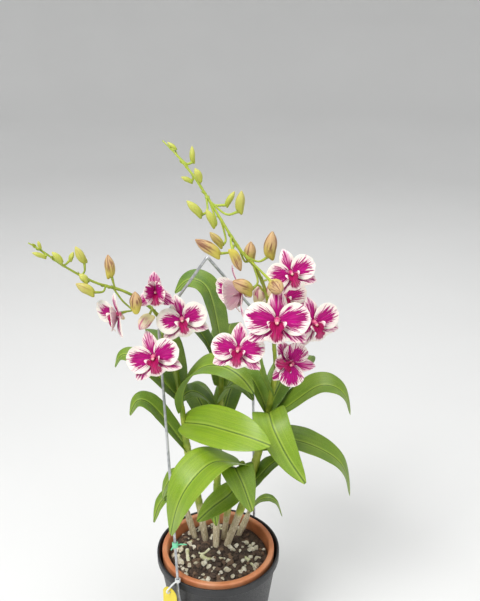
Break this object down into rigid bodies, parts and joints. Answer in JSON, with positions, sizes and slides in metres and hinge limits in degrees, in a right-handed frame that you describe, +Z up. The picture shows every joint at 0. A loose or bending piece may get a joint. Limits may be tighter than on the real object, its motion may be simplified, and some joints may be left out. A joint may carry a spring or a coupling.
{
  "type": "potted dendrobium orchid",
  "caption": "Dendrobium orchid with leafy canes and two arching sprays of magenta and white flowers, in a terracotta grow pot set in a dark cover pot with a wire hanger.",
  "frame": {"origin": "centre of the cover pot's flat base, on the ground", "axes": "+Z up along the pots' axis, -Y towards the side the flowers face"},
  "size_m": [0.2975, 0.2168, 0.5605],
  "materials": {
    "dark_plastic": "satin charcoal",
    "terracotta_plastic": "satin terracotta orange",
    "bark_mix": "rough brown bark with pale granules",
    "cane_green": "semi-gloss yellow-green leaves and canes",
    "stalk_green": "satin green stalks, buds from yellow-green to brown",
    "petal_magenta": "satin white petals with magenta flames",
    "galvanised_wire": "dull zinc grey",
    "strap_white": "white",
    "tag_yellow": "yellow, blank",
    "tie_green": "mint green"
  },
  "bodies": {
    "root": {"cover_pot": "dark_plastic", "grow_pot": "terracotta_plastic", "potting_mix": "bark_mix", "cane_short_front": "cane_green", "cane_short_left": "cane_green", "cane_short_right": "cane_green", "cane_tall_back": "cane_green", "cane_tall_left": "cane_green", "cane_tall_right": "cane_green", "spray_left": "stalk_green", "spray_right": "stalk_green", "flower_left_low": "petal_magenta", "flower_left_right": "petal_magenta", "flower_left_side": "petal_magenta", "flower_left_small": "petal_magenta", "flower_right_behind": "petal_magenta", "flower_right_front": "petal_magenta", "flower_right_inner": "petal_magenta", "flower_right_low": "petal_magenta", "flower_right_outer": "petal_magenta", "flower_right_side": "petal_magenta", "flower_right_top": "petal_magenta", "hanger_wire": "galvanised_wire", "tag_strap": "strap_white", "plant_tag": "tag_yellow", "green_tie": "tie_green"}
  },
  "joints": []
}
